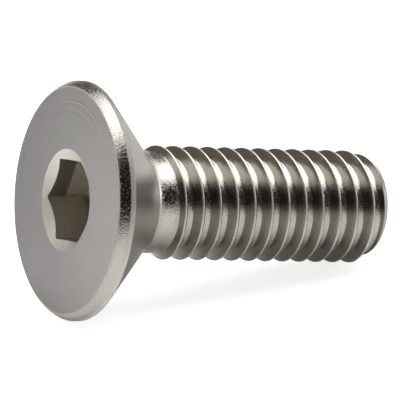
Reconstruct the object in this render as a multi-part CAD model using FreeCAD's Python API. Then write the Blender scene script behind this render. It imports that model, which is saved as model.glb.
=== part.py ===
import FreeCAD, Part
import math
import os
from FreeCAD import Vector

# A countersunk machine screw with a hexagon socket, turned and thread-rolled from one piece of steel.
# It is drawn along +X from the flat face of the head to the tip, then laid down as it comes to rest.
# All sizes are in millimetres and all angles in degrees.

# head
head_diameter = 12.1
face_diameter = 11.44
bevel_height = 0.5
bevel_bulge = 0.035
rim_width = 0.26
cone_angle = 94.0
under_head_radius = 0.85

# hexagon socket
hex_across_flats = 4.05
hex_depth = 2.4
hex_corner_direction = -14.5
mouth_diameter = 5.2
mouth_angle = 120.0
drill_point_angle = 120.0

# shank and thread
screw_length = 17.45
neck_diameter = 5.2
neck_length = 1.11
thread_diameter = 5.8
pitch = 1.0
thread_angle = 60.0
thread_depth_per_pitch = 0.613
crest_width = 0.12
first_crest_direction = 71.0
run_in_turns = 0.4
tip_diameter = 4.84
tip_angle = 64.0

steps_per_turn = 16
sunk_depth = 0.06

head_radius = head_diameter / 2
neck_radius = neck_diameter / 2
thread_radius = thread_diameter / 2
tip_radius = tip_diameter / 2
root_radius = thread_radius - thread_depth_per_pitch * pitch
rim_start = bevel_height
rim_end = bevel_height + rim_width
cone_end = rim_end + (head_radius - neck_radius) / math.tan(math.radians(cone_angle / 2))
first_crest = cone_end + neck_length
chamfer_length = (thread_radius - tip_radius) / math.tan(math.radians(tip_angle / 2))


def on_profile(x, radius):
    """A point of the turned profile, in the plane through the axis."""
    return Vector(x, 0, radius)


def around(x, radius, angle):
    """A point at this distance from the axis; 0 degrees is +Y and 90 degrees is +Z."""
    turn = math.radians(angle)
    return Vector(x, radius * math.cos(turn), radius * math.sin(turn))


def turned(edges):
    """The solid that a closed profile sweeps round the axis."""
    profile = Part.Face(Part.Wire(Part.__sortEdges__(edges)))
    return profile.revolve(Vector(0, 0, 0), Vector(1, 0, 0), 360)


def polyline(points):
    return [Part.makeLine(a, b) for a, b in zip(points, points[1:])]


def curved(start, middle, end):
    curve = Part.BSplineCurve()
    curve.interpolate([start, middle, end])
    return curve.toShape()


def blank():
    """Head and neck: everything that the lathe makes."""
    face_edge = on_profile(0, face_diameter / 2)
    rim_front = on_profile(rim_start, head_radius)
    rim_back = on_profile(rim_end, head_radius)
    along = (rim_front - face_edge).normalize()
    bulge = Vector(-along.z, 0, along.x) * bevel_bulge
    bevel_middle = (face_edge + rim_front) * 0.5 + bulge

    # fillet between the cone and the neck, tangent to both
    half_bend = math.radians(cone_angle / 4)
    setback = under_head_radius * math.tan(half_bend)
    cone_slope = math.radians(cone_angle / 2)
    fillet_start = on_profile(cone_end - setback * math.cos(cone_slope),
                              neck_radius + setback * math.sin(cone_slope))
    fillet_end = on_profile(cone_end + setback, neck_radius)
    fillet_centre = on_profile(cone_end + setback, neck_radius + under_head_radius)
    fillet_middle = fillet_centre + Vector(-math.sin(half_bend), 0, -math.cos(half_bend)) * under_head_radius

    # the neck ends inside the first turn of the thread, with a slope down to the roots
    neck_end = first_crest + crest_width
    edges = polyline([on_profile(0, 0), face_edge])
    edges += [curved(face_edge, bevel_middle, rim_front)]
    edges += polyline([rim_front, rim_back, fillet_start])
    edges += [Part.Arc(fillet_start, fillet_middle, fillet_end).toShape()]
    edges += polyline([fillet_end, on_profile(neck_end, neck_radius), on_profile(neck_end + neck_radius, 0),
                       on_profile(0, 0)])
    return turned(edges)


def crest_radius_at(turn):
    """The ridge rises out of the neck over its first part of a turn, then keeps its height.

    Where the roots are wider than the neck, it rises out of the roots.
    """
    sunk = max(neck_radius - sunk_depth, root_radius + sunk_depth)
    share = min((turn + run_in_turns) / run_in_turns, 1.0)
    return sunk + (thread_radius - sunk) * math.sin(math.pi / 2 * share)


def ridge_section(turn):
    """The foot, crest edge, crest edge and foot of the ridge, this many turns after the first full crest."""
    crest_radius = crest_radius_at(turn)
    half_crest = crest_width / 2
    half_foot = half_crest + (crest_radius - root_radius) * math.tan(math.radians(thread_angle / 2))
    middle = first_crest + pitch * turn
    angle = first_crest_direction + 360 * turn
    corners = [(root_radius, -half_foot), (crest_radius, -half_crest),
               (crest_radius, half_crest), (root_radius, half_foot)]
    return [around(middle + offset, radius, angle) for radius, offset in corners]


def axis_point(point):
    return Vector(point.x, 0, 0)


def helical_end(rail, inner, outer, ridge):
    """Closes one end of the rod: a step in the plane through the axis and a ramp from the foot to the axis."""
    outline = ridge + [outer, axis_point(outer), axis_point(inner), ridge[0]]
    ramp = Part.makeRuledSurface(rail, Part.makeLine(axis_point(inner), axis_point(outer)))
    return [Part.Face(Part.makePolygon(outline)), ramp]


def threaded_rod():
    """The rolled part of the shank, faced one turn at a time: a ridge with a root strip between its turns."""
    start = -run_in_turns
    turns = math.ceil((screw_length + 2 * pitch - first_crest) / pitch - start)
    rails = []
    for turn in range(turns):
        sections = [ridge_section(start + turn + step / steps_per_turn) for step in range(steps_per_turn + 1)]
        edges = []
        for corner in zip(*sections):
            curve = Part.BSplineCurve()
            curve.interpolate(list(corner))
            edges.append(curve.toShape())
        rails.append(edges)

    faces = []
    for edges in rails:
        faces += [Part.makeRuledSurface(edge, following) for edge, following in zip(edges, edges[1:])]
    for edges, following in zip(rails, rails[1:]):
        faces.append(Part.makeRuledSurface(edges[3], following[0]))
    first, second = ridge_section(start), ridge_section(start + 1)
    faces += helical_end(rails[0][0], first[0], second[0], first)
    last, before = ridge_section(start + turns), ridge_section(start + turns - 1)
    faces += helical_end(rails[-1][3], last[3], before[3], last[::-1])

    shell = Part.makeShell(faces)
    shell.sewShape()
    rod = Part.makeSolid(shell)
    if rod.Volume < 0:
        rod.reverse()
    return rod


def tip_waste():
    """What the chamfer and the cut-off remove beyond the tip."""
    reach = thread_radius + pitch
    beyond = screw_length + 3 * pitch
    chamfer_start = screw_length - chamfer_length
    foot = chamfer_start - (reach - thread_radius) / math.tan(math.radians(tip_angle / 2))
    return turned(polyline([on_profile(foot, reach), on_profile(screw_length, tip_radius),
                            on_profile(screw_length, 0), on_profile(beyond, 0),
                            on_profile(beyond, reach), on_profile(foot, reach)]))


def socket():
    """Hexagon hole with a countersunk mouth and a drilled bottom."""
    corner_radius = hex_across_flats / math.sqrt(3)
    corners = [around(0, corner_radius, hex_corner_direction + 60 * i) for i in range(7)]
    hexagon = Part.Face(Part.makePolygon(corners)).extrude(Vector(hex_depth, 0, 0))

    mouth_radius = mouth_diameter / 2
    mouth_depth = mouth_radius / math.tan(math.radians(mouth_angle / 2))
    mouth = turned(polyline([on_profile(0, 0), on_profile(0, mouth_radius),
                             on_profile(mouth_depth, 0), on_profile(0, 0)]))

    drill_radius = hex_across_flats / 2
    drill_depth = drill_radius / math.tan(math.radians(drill_point_angle / 2))
    drill = turned(polyline([on_profile(hex_depth, 0), on_profile(hex_depth, drill_radius),
                             on_profile(hex_depth + drill_depth, 0), on_profile(hex_depth, 0)]))
    return hexagon.fuse([mouth, drill])


def lay_down(shape):
    """Rests the screw on the back of its rim and on the last full turn of its thread."""
    lowest_turn = first_crest + pitch * ((270 - first_crest_direction) / 360)
    last_full = math.floor((screw_length - chamfer_length - lowest_turn) / pitch)
    support = lowest_turn + pitch * last_full
    slope = math.degrees(math.atan2(head_radius - thread_radius, support - rim_end))
    laid = shape.copy()
    laid.rotate(Vector(0, 0, 0), Vector(0, 1, 0), slope)
    box = laid.optimalBoundingBox(False)
    laid.translate(Vector(-(box.XMin + box.XMax) / 2, -(box.YMin + box.YMax) / 2, -box.ZMin))
    return laid


def screw():
    return blank().fuse(threaded_rod()).cut(tip_waste()).cut(socket()).removeSplitter()


os.makedirs("parts", exist_ok=True)
lay_down(screw()).exportStep("parts/screw.step")
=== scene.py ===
import bpy
import bmesh
import math
from mathutils import Matrix, Vector


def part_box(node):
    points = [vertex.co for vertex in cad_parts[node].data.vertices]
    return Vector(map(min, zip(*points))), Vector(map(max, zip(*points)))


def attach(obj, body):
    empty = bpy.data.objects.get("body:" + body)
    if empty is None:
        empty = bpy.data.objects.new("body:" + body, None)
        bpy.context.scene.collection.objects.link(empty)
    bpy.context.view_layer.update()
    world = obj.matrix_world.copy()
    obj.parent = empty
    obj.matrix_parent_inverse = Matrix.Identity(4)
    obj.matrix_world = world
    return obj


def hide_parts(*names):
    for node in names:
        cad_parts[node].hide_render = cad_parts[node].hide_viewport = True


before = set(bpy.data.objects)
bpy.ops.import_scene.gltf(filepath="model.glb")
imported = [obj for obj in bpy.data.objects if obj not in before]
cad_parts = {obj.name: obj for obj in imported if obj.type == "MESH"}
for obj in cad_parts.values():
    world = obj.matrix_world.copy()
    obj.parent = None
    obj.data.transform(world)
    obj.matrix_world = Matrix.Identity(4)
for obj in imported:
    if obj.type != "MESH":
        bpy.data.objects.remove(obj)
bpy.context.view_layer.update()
mm = 0.001
print("frame loaded")


# Shader maths. A Wire holds one socket, so 1 - mask or grain * 0.4 adds the Math nodes by itself.
class Wire:
    def __init__(self, tree, socket=None):
        self.tree = tree
        self.socket = socket

    def node(self, kind, settings, inputs, output=0):
        made = self.tree.nodes.new(kind)
        for name, value in settings.items():
            setattr(made, name, value)
        for name, value in inputs.items():
            if isinstance(value, Wire):
                self.tree.links.new(value.socket, made.inputs[name])
            else:
                made.inputs[name].default_value = value
        return Wire(self.tree, made.outputs[output])

    def maths(self, operation, first, second=0.0):
        return self.node("ShaderNodeMath", {"operation": operation}, {0: first, 1: second})

    def __add__(self, other):
        return self.maths("ADD", self, other)

    def __sub__(self, other):
        return self.maths("SUBTRACT", self, other)

    def __rsub__(self, other):
        return self.maths("SUBTRACT", other, self)

    def __mul__(self, other):
        return self.maths("MULTIPLY", self, other)

    __radd__ = __add__

    # 0 below low, 1 above high, with soft ends
    def step(self, low, high):
        return self.node("ShaderNodeMapRange", {"interpolation_type": "SMOOTHSTEP"},
                         {"Value": self, "From Min": low, "From Max": high})


# The screw, drawn upright along +X from the face of the head to the tip, in millimetres and degrees
screw = {
    "headDiameter": 12.1,
    "faceDiameter": 11.44,
    "bevelHeight": 0.5,
    "bevelBulge": 0.035,
    "bevelRound": 0.9,
    "rimWidth": 0.26,
    "coneAngle": 94.0,
    "underHeadRadius": 0.4,
    "edgeRadius": 0.03,
    "faceEdgeRadius": 0.11,
    "hexAcrossFlats": 4.05,
    "hexDepth": 2.4,
    "hexCornerDirection": -14.5,
    "hexCornerRadius": 0.09,
    "mouthDiameter": 5.2,
    "mouthAngle": 120.0,
    "drillPointAngle": 120.0,
    "drillOverlap": 0.3,
    "length": 17.45,
    "neckDiameter": 5.2,
    "neckLength": 1.11,
    "threadDiameter": 5.8,
    "pitch": 1.0,
    "threadAngle": 60.0,
    "crestRadius": 0.06,
    "threadDepth": 0.53,
    "rootRadius": 0.12,
    "neckOverlap": 0.12,
    "firstCrestDirection": 71.0,
    "runInTurns": 0.4,
    "sunkDepth": 0.06,
    "tipDiameter": 4.84,
    "tipAngle": 64.0,
    "headSteps": 216,
    "stepsPerTurn": 144,
    "drillSteps": 96,
    "roundSteps": 8,
    "hexCornerSteps": 3,
    "weldDistance": 1e-3,
    "rootSlack": 1e-4,
    "cutSlack": 1e-5,
    "sharpAngle": 32.0,
}
headRadius = screw["headDiameter"] / 2
faceRadius = screw["faceDiameter"] / 2
mouthRadius = screw["mouthDiameter"] / 2
neckRadius = screw["neckDiameter"] / 2
threadRadius = screw["threadDiameter"] / 2
tipRadius = screw["tipDiameter"] / 2
coneSlope = math.radians(screw["coneAngle"] / 2)
rimEnd = screw["bevelHeight"] + screw["rimWidth"]
coneEnd = rimEnd + (headRadius - neckRadius) / math.tan(coneSlope)
firstCrest = coneEnd + screw["neckLength"]
chamferLength = (threadRadius - tipRadius) / math.tan(math.radians(screw["tipAngle"] / 2))
axisLine = {"cent": (0, 0, 0), "axis": (1, 0, 0)}


# A line of (x, radius) corners; a third number rounds that corner off to this radius
def profileLine(mesh, corners):
    places = [Vector((corner[0], 0, corner[1])) for corner in corners]
    points = [mesh.verts.new(place) for place in places]
    for pair in zip(points, points[1:]):
        mesh.edges.new(pair)
    for i, corner in enumerate(corners):
        if len(corner) == 3:
            bend = (places[i] - places[i - 1]).angle(places[i + 1] - places[i])
            bmesh.ops.bevel(mesh, geom=[points[i]], offset=corner[2] * math.tan(bend / 2),
                            segments=screw["roundSteps"], profile=0.5, affect="VERTICES", material=-1)


def finishShell(mesh, name):
    bmesh.ops.remove_doubles(mesh, verts=mesh.verts, dist=screw["weldDistance"])
    bmesh.ops.recalc_face_normals(mesh, faces=mesh.faces)
    data = bpy.data.meshes.new(name)
    mesh.to_mesh(data)
    mesh.free()
    piece = bpy.data.objects.new(name, data)
    bpy.context.scene.collection.objects.link(piece)
    return piece


def turnedSolid(name, corners, steps):
    mesh = bmesh.new()
    profileLine(mesh, corners)
    bmesh.ops.spin(mesh, geom=mesh.verts[:] + mesh.edges[:], angle=math.tau, steps=steps,
                   use_merge=True, **axisLine)
    return finishShell(mesh, name)


# Head and neck as they leave the lathe, with the mouth of the socket; every edge is a little rounded.
# The end of the neck is buried in the thread.
def makeBlank():
    edge = screw["edgeRadius"]
    faceEdge = Vector((0, faceRadius))
    rimFront = Vector((screw["bevelHeight"], headRadius))
    outwards = (rimFront - faceEdge).normalized()
    bulge = Vector((-outwards.y, outwards.x)) * screw["bevelBulge"]
    bevelMiddle = (faceEdge + rimFront) / 2 + bulge
    mouthDepth = mouthRadius / math.tan(math.radians(screw["mouthAngle"] / 2))
    buriedEnd = firstCrest + screw["neckOverlap"]
    return turnedSolid("screwBody", [
        (mouthDepth, 0),
        (0, mouthRadius, edge),
        (*faceEdge, screw["faceEdgeRadius"]),
        (*bevelMiddle, screw["bevelRound"]),
        (*rimFront, edge),
        (rimEnd, headRadius, edge),
        (coneEnd, neckRadius, screw["underHeadRadius"]),
        (buriedEnd, neckRadius),
        (buriedEnd + neckRadius, 0),
    ], screw["headSteps"])


def crestRadiusAt(turn):
    sunk = neckRadius - screw["sunkDepth"]
    share = min(max((turn + screw["runInTurns"]) / screw["runInTurns"], 0), 1)
    return sunk + (threadRadius - sunk) * math.sin(math.pi / 2 * share)


# The rolled thread: one pitch of its profile, spun along the shank, with a rise over the first part of its
# first turn. The line starts half-way down a flank, so that the crest and both root corners can be rounded.
def makeThread():
    pitch = screw["pitch"]
    flankSlope = math.tan(math.radians(screw["threadAngle"] / 2))
    sharpCrest = threadRadius + screw["crestRadius"]
    rootRadius = threadRadius - screw["threadDepth"]
    halfRoot = pitch / 2 - (sharpCrest - rootRadius) * flankSlope
    halfWay = sharpCrest - pitch / 4 / flankSlope
    turnsBefore = 2
    turns = turnsBefore + math.ceil((screw["length"] - firstCrest) / pitch) + 1
    start = firstCrest - turnsBefore * pitch
    mesh = bmesh.new()
    profileLine(mesh, [
        (start - pitch / 4, halfWay),
        (start, sharpCrest, screw["crestRadius"]),
        (start + pitch / 2 - halfRoot, rootRadius, screw["rootRadius"]),
        (start + pitch / 2 + halfRoot, rootRadius, screw["rootRadius"]),
        (start + pitch * 3 / 4, halfWay),
    ])
    towardsCrest = math.radians(screw["firstCrestDirection"] - 90)
    bmesh.ops.rotate(mesh, verts=mesh.verts, cent=(0, 0, 0), matrix=Matrix.Rotation(towardsCrest, 3, "X"))
    bmesh.ops.spin(mesh, geom=mesh.verts[:] + mesh.edges[:], angle=math.tau, steps=screw["stepsPerTurn"],
                   dvec=(pitch / screw["stepsPerTurn"], 0, 0), **axisLine)
    oneTurn = mesh.verts[:] + mesh.edges[:] + mesh.faces[:]
    for turn in range(1, turns):
        copied = bmesh.ops.duplicate(mesh, geom=oneTurn)["geom"]
        points = [part for part in copied if isinstance(part, bmesh.types.BMVert)]
        bmesh.ops.translate(mesh, verts=points, vec=(turn * pitch, 0, 0))
    bmesh.ops.remove_doubles(mesh, verts=mesh.verts, dist=screw["weldDistance"])

    # the ridge grows out of the neck
    for point in mesh.verts:
        radius = math.hypot(point.co.y, point.co.z)
        around = (math.atan2(point.co.z, point.co.y) - math.radians(screw["firstCrestDirection"])) / math.tau
        turn = around + round((point.co.x - firstCrest) / pitch - around)
        offset = point.co.x - firstCrest - turn * pitch
        if turn < 0 and radius > rootRadius + screw["rootSlack"]:
            share = (crestRadiusAt(turn) - rootRadius) / (threadRadius - rootRadius)
            grown = (rootRadius + (radius - rootRadius) * share) / radius
            point.co = Vector((point.co.x - offset * (1 - share), point.co.y * grown, point.co.z * grown))

    # cut square inside the neck and beyond the tip, and closed there
    insideNeck = firstCrest - 0.7 * pitch
    beyondTip = screw["length"] + 0.5 * pitch
    for place, side in ((insideNeck, -1), (beyondTip, 1)):
        everything = mesh.verts[:] + mesh.edges[:] + mesh.faces[:]
        cut = bmesh.ops.bisect_plane(mesh, geom=everything, dist=screw["cutSlack"],
                                     plane_co=(place, 0, 0), plane_no=(side, 0, 0), clear_outer=True)
        rim = [part for part in cut["geom_cut"] if isinstance(part, bmesh.types.BMEdge)]
        bmesh.ops.contextual_create(mesh, geom=rim)
    return finishShell(mesh, "rolledThread")


# What the chamfer and the cut-off take away beyond the tip
def makeTipWaste():
    reach = threadRadius + screw["pitch"]
    length = screw["length"]
    beyond = length + 3 * screw["pitch"]
    foot = length - chamferLength - (reach - threadRadius) / math.tan(math.radians(screw["tipAngle"] / 2))
    return turnedSolid("tipWaste", [
        (foot, reach),
        (length, tipRadius, screw["edgeRadius"]),
        (length, 0),
        (beyond, 0),
        (beyond, reach),
        (foot, reach),
    ], screw["stepsPerTurn"])


# The broached hexagon with its drilled bottom
def makeSocketTool():
    corner = screw["hexAcrossFlats"] / math.sqrt(3)
    depth = screw["hexDepth"]
    mesh = bmesh.new()
    bmesh.ops.create_cone(mesh, cap_ends=True, segments=6, radius1=corner, radius2=corner, depth=2 * depth)
    alongEdges = [edge for edge in mesh.edges if abs(edge.verts[0].co.z - edge.verts[1].co.z) > depth]
    bmesh.ops.bevel(mesh, geom=alongEdges, offset=screw["hexCornerRadius"],
                    segments=screw["hexCornerSteps"], profile=0.5, affect="EDGES", material=-1)
    bmesh.ops.rotate(mesh, verts=mesh.verts, cent=(0, 0, 0), matrix=Matrix.Rotation(math.pi / 2, 3, "Y"))
    toCorner = math.radians(screw["hexCornerDirection"])
    bmesh.ops.rotate(mesh, verts=mesh.verts, cent=(0, 0, 0), matrix=Matrix.Rotation(toCorner, 3, "X"))
    return finishShell(mesh, "hexTool")


def makeDrillTool():
    radius = screw["hexAcrossFlats"] / 2
    depth = screw["hexDepth"]
    point = radius / math.tan(math.radians(screw["drillPointAngle"] / 2))
    start = depth - screw["drillOverlap"]
    return turnedSolid("drillTool", [
        (start, 0),
        (start, radius),
        (depth, radius),
        (depth + point, 0),
    ], screw["drillSteps"])


def combine(piece, tool, operation):
    change = piece.modifiers.new("change", "BOOLEAN")
    change.operation = operation
    change.solver = "EXACT"
    change.object = tool
    ready = piece.evaluated_get(bpy.context.evaluated_depsgraph_get())
    changed = bpy.data.meshes.new_from_object(ready)
    piece.modifiers.remove(change)
    piece.data = changed
    bpy.data.objects.remove(tool)


# Laid down as the CAD node lies: on the back of the rim and on the last full turn of the thread
def layDown(piece):
    pitch = screw["pitch"]
    lowestTurn = firstCrest + pitch * (270 - screw["firstCrestDirection"]) / 360
    lastFull = math.floor((screw["length"] - chamferLength - lowestTurn) / pitch)
    slope = math.atan2(headRadius - threadRadius, lowestTurn + pitch * lastFull - rimEnd)
    piece.data.transform(Matrix.Scale(mm, 4) @ Matrix.Rotation(slope, 4, "Y"))
    low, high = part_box("screw")
    corners = [point.co for point in piece.data.vertices]
    myLow = Vector([min(corner[i] for corner in corners) for i in range(3)])
    myHigh = Vector([max(corner[i] for corner in corners) for i in range(3)])
    shift = (low + high - myLow - myHigh) / 2
    shift.z = low.z - myLow.z
    piece.data.transform(Matrix.Translation(shift))
    return slope, shift


body = makeBlank()
combine(body, makeThread(), "UNION")
combine(body, makeTipWaste(), "DIFFERENCE")
combine(body, makeSocketTool(), "DIFFERENCE")
combine(body, makeDrillTool(), "DIFFERENCE")
body.data.shade_smooth()
body.data.set_sharp_from_angle(angle=math.radians(screw["sharpAngle"]))
slope, shift = layDown(body)
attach(body, "root")
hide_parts("screw")
print("screw made:", len(body.data.vertices), "points", len(body.data.polygons), "faces")


# One bar of steel, finished differently by zone. Ends are distances along the axis from the face of the
# head and radii are distances from the axis, both in millimetres. A face takes the first zone it lies in.
# Lean and rise paint light and shade across a zone, sideways and upwards; smooth is the stretch of it with
# few flecks.
steelColour = (0.56, 0.54, 0.51)
greySteel = (0.55, 0.537, 0.535)
# a warmer steel, used darker on the thread flanks and in the socket, where its warm dark tone is a painted
# reflection and painted shade
brownSteel = (0.57, 0.53, 0.475)
outside = headRadius + 1
bandInside = faceRadius - 0.12
mouthSide = mouthRadius + 0.02
coneFoot = coneEnd - 0.12
neckEnd = firstCrest - 0.2
wholeLength = (0, screw["length"] + 1)
# Tint lightens or darkens the same steel zone by zone, partly for its finish and partly as painted light and
# shade: the crests, the rounded edge of the face and the mouth are painted lighter as highlights.
zones = {
    "edgeSteel": {
        "ends": (0.004, 0.085), "radii": (bandInside, outside),
        "tint": 1.4, "roughness": 0.5, "grain": 0.2, "speckle": 1.2, "flecks": 0.3,
    },
    "faceSteel": {
        "ends": (-1, 0.012), "radii": (mouthSide, outside),
        "colour": greySteel, "tint": 0.69, "lean": -0.045, "roughness": 0.36, "grain": 0.05, "rings": 0.9,
    },
    "mouthSteel": {
        "ends": (-0.1, 1.6), "radii": (0, mouthSide + 0.02),
        "tint": 1.5, "lean": 0.1, "roughness": 0.5, "grain": 0.5, "streak": 0.2, "speckle": 1.6,
    },
    "socketSteel": {
        "ends": (0, 4), "radii": (0, mouthSide),
        "colour": brownSteel, "tint": 0.74, "roughness": 0.4, "grain": 0.2, "speckle": 1.0, "patch": 2.4,
    },
    "bevelSteel": {
        "ends": (0, screw["bevelHeight"]), "radii": (bandInside, outside), "smooth": (0.15, 0.42),
        "tint": 1.05, "rise": -0.04, "roughness": 0.08, "grain": 0.1, "streak": 0.5, "speckle": 0.7,
        "flecks": 0.42,
    },
    "rimSteel": {
        "ends": (screw["bevelHeight"], rimEnd + 0.01), "radii": (bandInside, outside),
        "tint": 1.22, "rise": -0.09, "roughness": 0.48, "grain": 0.24, "streak": 0.4, "speckle": 1.2,
        "flecks": 0.2,
    },
    "coneSteel": {
        "ends": (rimEnd + 0.01, coneFoot), "radii": (neckRadius - 0.1, headRadius + 0.05),
        "tint": 0.78, "rise": -0.05, "roughness": 0.3, "grain": 0.08,
    },
    "neckSteel": {
        "ends": (coneFoot, neckEnd), "radii": (neckRadius - 0.1, outside),
        "smooth": (coneEnd + 0.32, neckEnd - 0.04),
        "tint": 1.05, "roughness": 0.1, "grain": 0.1, "streak": 0.5, "speckle": 0.7, "flecks": 0.42,
    },
    # the crests' lighter tint is partly a painted highlight line
    "crestSteel": {
        "ends": wholeLength, "radii": (threadRadius - 0.034, outside),
        "tint": 1.4, "roughness": 0.42, "grain": 0.16, "speckle": 0.5,
    },
    "rootSteel": {
        "ends": wholeLength, "radii": (0, threadRadius - screw["threadDepth"] + 0.04),
        "tint": 1.0, "roughness": 0.19, "grain": 0.12, "speckle": 0.5, "flecks": 0.12,
    },
    "flankSteel": {
        "ends": wholeLength, "radii": (0, outside),
        "colour": brownSteel, "tint": 0.72, "roughness": 0.18, "grain": 0.1, "speckle": 0.4,
    },
}

# How fine the marks are and how strongly they show, for all zones. A face that looks less than wallFacing
# along the axis is a wall.
marks = {
    "grainScale": 14.0, "grainDetail": 3.0,
    "spotScale": 17.0, "spotDetail": 1.0,
    "streaksAlong": 22, "streaksAround": 0.7, "streakDetail": 2.0, "streakRelief": 0.1, "usualStreak": 1.2,
    "ringsOutward": 9, "ringsAround": 0.15, "ringDetail": 3.0,
    "wearInShade": 2, "wearInRoughness": 0.8, "brightest": 1.7,
    "fleckLevel": (0.61, 0.68), "fleckBorder": 0.12, "borderFade": 0.1,
    # where the socket's painted patch of light lies
    "patchDepth": (1.1, 1.3), "patchSide": (-0.1, 0.3), "patchAcross": 0.25, "patchUp": 0.968,
    "patchRoughness": 0.2,
    "reliefHeight": 0.02,
    "wallFacing": 0.3,
}


def newMaterial(name):
    material = bpy.data.materials.new(name)
    material.use_nodes = True
    shader = material.node_tree.nodes["Principled BSDF"]
    return material, shader, Wire(material.node_tree)


# x, y and z of the upright drawing, in millimetres
def localAxes(wire):
    laid = wire.node("ShaderNodeTexCoord", {}, {}, "Object")
    drawn = wire.node("ShaderNodeMapping", {"vector_type": "TEXTURE"},
                      {"Vector": laid, "Location": shift, "Rotation": (0, slope, 0), "Scale": (mm, mm, mm)})
    return [wire.node("ShaderNodeSeparateXYZ", {}, {"Vector": drawn}, axis) for axis in "XYZ"]


# grain is fine and uneven, spots are as fine as the flecks, streaks run round the axis
def makeSteel(name, zone):
    material, shader, wire = newMaterial(name)
    along, across, height = localAxes(wire)
    everywhere = wire.node("ShaderNodeCombineXYZ", {}, {"X": along, "Y": across, "Z": height})
    grain = wire.node("ShaderNodeTexNoise", {}, {
        "Vector": everywhere, "Scale": marks["grainScale"], "Detail": marks["grainDetail"]})
    spots = wire.node("ShaderNodeTexNoise", {}, {
        "Vector": everywhere, "Scale": marks["spotScale"], "Detail": marks["spotDetail"]})
    around = wire.node("ShaderNodeCombineXYZ", {}, {
        "X": along * marks["streaksAlong"], "Y": across * marks["streaksAround"],
        "Z": height * marks["streaksAround"]})
    streaks = wire.node("ShaderNodeTexNoise", {}, {
        "Vector": around, "Scale": 1.0, "Detail": marks["streakDetail"]})

    streakShare = zone["grain"] * zone.get("streak", marks["usualStreak"])
    worn = (grain - 0.5) * zone["grain"] + (streaks - 0.5) * streakShare
    # painted light and shade: the zone lighter or darker towards one side and upwards
    paintedLightSlope = across * zone.get("lean", 0) + height * zone.get("rise", 0)
    shade = (1 + worn * marks["wearInShade"] + paintedLightSlope) * zone["tint"]
    roughness = zone["roughness"] + worn * marks["wearInRoughness"]
    if "patch" in zone:
        # rougher, and lighter with a painted patch of light, on the upper wall
        upperWall = (across * marks["patchAcross"] + height * marks["patchUp"]).step(*marks["patchSide"])
        litPatch = along.step(*marks["patchDepth"]) * upperWall
        shade = shade * (1 + litPatch * grain * zone["patch"])
        roughness = roughness + litPatch * marks["patchRoughness"]
    if "flecks" in zone:
        # matt flecks, further apart in the smooth middle of a polished band
        fleck = spots + marks["fleckBorder"]
        if "smooth" in zone:
            low, high = zone["smooth"]
            fade = marks["borderFade"]
            border = 1 - along.step(low - fade, low) * (1 - along.step(high, high + fade))
            fleck = spots + border * marks["fleckBorder"]
        roughness = roughness + fleck.step(*marks["fleckLevel"]) * zone["flecks"]
    shade = wire.maths("MINIMUM", shade, marks["brightest"])
    red, green, blue = zone.get("colour", steelColour)
    colour = wire.node("ShaderNodeCombineColor", {}, {
        "Red": shade * red, "Green": shade * green, "Blue": shade * blue})
    material.node_tree.links.new(colour.socket, shader.inputs["Base Color"])
    material.node_tree.links.new(roughness.socket, shader.inputs["Roughness"])
    shader.inputs["Metallic"].default_value = 1.0

    relief = (spots - 0.5) * zone.get("speckle", 0) + (streaks - 0.5) * marks["streakRelief"]
    if "rings" in zone:
        # tool marks of the turned face
        radius = wire.maths("SQRT", across * across + height * height)
        outward = wire.node("ShaderNodeCombineXYZ", {}, {
            "X": radius * marks["ringsOutward"], "Y": across * marks["ringsAround"],
            "Z": height * marks["ringsAround"]})
        rings = wire.node("ShaderNodeTexNoise", {}, {
            "Vector": outward, "Scale": 1.0, "Detail": marks["ringDetail"]})
        relief = relief + (rings - 0.5) * zone["rings"]
    bumped = wire.node("ShaderNodeBump", {}, {
        "Height": relief, "Strength": 1.0, "Distance": marks["reliefHeight"] * mm})
    material.node_tree.links.new(bumped.socket, shader.inputs["Normal"])
    return material


# The middle of a face decides; the walls of the socket aren't part of its mouth
def paintZones(piece):
    piece.data.materials.clear()
    for name, zone in zones.items():
        piece.data.materials.append(makeSteel(name, zone))
    toLaid = Matrix.Translation(shift) @ Matrix.Scale(mm, 4) @ Matrix.Rotation(slope, 4, "Y")
    toDrawn = toLaid.inverted()
    for face in piece.data.polygons:
        middle = toDrawn @ face.center
        radius = math.hypot(middle.y, middle.z)
        facing = (toDrawn.to_3x3() @ face.normal).normalized()
        isWall = abs(facing.x) < marks["wallFacing"]
        for i, (name, zone) in enumerate(zones.items()):
            low, high = zone["ends"]
            near, far = zone["radii"]
            if name == "mouthSteel" and isWall:
                continue
            if low <= middle.x <= high and near <= radius <= far:
                face.material_index = i
                break


paintZones(body)
print("finishes made")


# Camera at the photograph's viewing angle, in degrees and millimetres; only clip is in metres. The target,
# near the middle of the screw's box, shows this far to the right of the picture's middle and above it.
view = {
    "azimuth": 26.975, "elevation": 21.891, "roll": 0.245,
    "lens": 438.3, "sensor": 36.0, "distance": 247.86, "clip": (0.01, 10),
    "target": (-0.067, 0, 5.981), "targetRight": 0.543, "targetUp": 1.221,
}


def makeCamera():
    azimuth, elevation, roll = (math.radians(view[name]) for name in ("azimuth", "elevation", "roll"))
    forward = Vector((math.sin(azimuth) * math.cos(elevation), math.cos(azimuth) * math.cos(elevation),
                      -math.sin(elevation)))
    level = Vector((math.cos(azimuth), -math.sin(azimuth), 0))
    upright = level.cross(forward)
    right = level * math.cos(roll) + upright * math.sin(roll)
    up = upright * math.cos(roll) - level * math.sin(roll)
    place = (Vector(view["target"]) - right * view["targetRight"] - up * view["targetUp"]
             - forward * view["distance"]) * mm
    data = bpy.data.cameras.new("camera")
    data.lens = view["lens"]
    data.sensor_width = view["sensor"]
    data.clip_start, data.clip_end = view["clip"]
    camera = bpy.data.objects.new("camera", data)
    bpy.context.scene.collection.objects.link(camera)
    turn = Matrix((right, up, -forward)).transposed()
    camera.matrix_world = Matrix.Translation(place) @ turn.to_4x4()
    bpy.context.scene.camera = camera


makeCamera()


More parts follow.
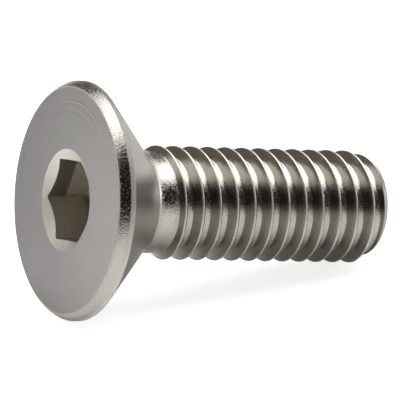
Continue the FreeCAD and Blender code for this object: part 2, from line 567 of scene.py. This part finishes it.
# Studio: a pale table under one large soft box that is turned with the camera, a low strip and a larger
# panel on the right, a dim warm reflector on the left and a warm grey wall behind; the side of the camera
# stays dark. Sizes and places are in metres.
studio = {
    "tableSize": 6.0,
    "tableColour": (0.8, 0.8, 0.8, 1), "tableRoughness": 0.9,
    "tableGlow": 0.8, "glossyGlow": 0.12,
    "roomColour": (0.02, 0.018, 0.016, 1),
    "lamps": {
        "softBox": {
            "size": (1.5, 0.66), "place": (0.245, 0.136, 0.6), "turn": -15.0,
            "power": 7.6, "colour": (1, 0.99, 0.97),
        },
        "sideStrip": {
            "size": (0.5, 0.25), "place": (0.7, -0.1, 0.12),
            "power": 1.2, "colour": (1, 0.98, 0.95),
        },
        "sidePanel": {
            "size": (1.0, 0.42), "place": (1.11, 0.36, 0.32),
            "power": 1.4, "colour": (1, 0.96, 0.9),
        },
        "reflector": {
            "size": (0.5, 0.45), "place": (-0.98, 0.36, 0.59),
            "power": 0.1, "colour": (1, 0.86, 0.7),
        },
    },
    "wallDistance": 1.7, "wallHeight": 1.35, "wallFrom": 42.0, "wallSweep": 105.0, "wallSteps": 24,
    "wallColour": (0.2, 0.18, 0.155, 1),
}


def makeTable():
    mesh = bmesh.new()
    bmesh.ops.create_grid(mesh, x_segments=1, y_segments=1, size=studio["tableSize"] / 2)
    table = finishShell(mesh, "table")
    material, shader, wire = newMaterial("tableWhite")
    shader.inputs["Base Color"].default_value = studio["tableColour"]
    shader.inputs["Roughness"].default_value = studio["tableRoughness"]
    shader.inputs["Specular IOR Level"].default_value = 0.0
    seen = wire.node("ShaderNodeLightPath", {}, {}, "Is Camera Ray")
    mirrored = wire.node("ShaderNodeLightPath", {}, {}, "Is Glossy Ray")
    through = wire.node("ShaderNodeLightPath", {}, {}, "Is Transmission Ray")
    shown = (seen + through + mirrored * studio["glossyGlow"]) * studio["tableGlow"]
    shader.inputs["Emission Color"].default_value = (1, 1, 1, 1)
    material.node_tree.links.new(shown.socket, shader.inputs["Emission Strength"])
    table.data.materials.append(material)


# Without a turn, a lamp points at the screw
def makeLamp(name, lamp):
    data = bpy.data.lights.new(name, "AREA")
    data.shape = "RECTANGLE"
    data.size, data.size_y = lamp["size"]
    data.energy = lamp["power"]
    data.color = lamp["colour"]
    box = bpy.data.objects.new(name, data)
    box.location = lamp["place"]
    if "turn" in lamp:
        box.rotation_euler.z = math.radians(lamp["turn"])
    else:
        box.rotation_euler = box.location.to_track_quat("Z", "Y").to_euler()
    bpy.context.scene.collection.objects.link(box)


# A curved wall behind the screw that only mirrors see
def makeWall():
    start = math.radians(studio["wallFrom"])
    foot = Vector((math.cos(start), math.sin(start), 0)) * studio["wallDistance"]
    mesh = bmesh.new()
    low = mesh.verts.new(foot)
    high = mesh.verts.new(foot + Vector((0, 0, studio["wallHeight"])))
    upright = mesh.edges.new((low, high))
    bmesh.ops.spin(mesh, geom=[low, high, upright], angle=math.radians(studio["wallSweep"]),
                   steps=studio["wallSteps"], cent=(0, 0, 0), axis=(0, 0, 1))
    wall = finishShell(mesh, "wall")
    material, shader, wire = newMaterial("wallGrey")
    shader.inputs["Base Color"].default_value = (0, 0, 0, 1)
    shader.inputs["Specular IOR Level"].default_value = 0.0
    shader.inputs["Emission Color"].default_value = studio["wallColour"]
    shader.inputs["Emission Strength"].default_value = 1.0
    wall.data.materials.append(material)
    wall.visible_camera = False


def makeRoom():
    world = bpy.data.worlds.new("room")
    bpy.context.scene.world = world
    world.use_nodes = True
    backdrop = world.node_tree.nodes["Background"]
    backdrop.inputs["Color"].default_value = studio["roomColour"]


makeTable()
for name, lamp in studio["lamps"].items():
    makeLamp(name, lamp)
makeWall()
makeRoom()
bpy.context.scene.view_settings.view_transform = "Standard"
print("studio made")
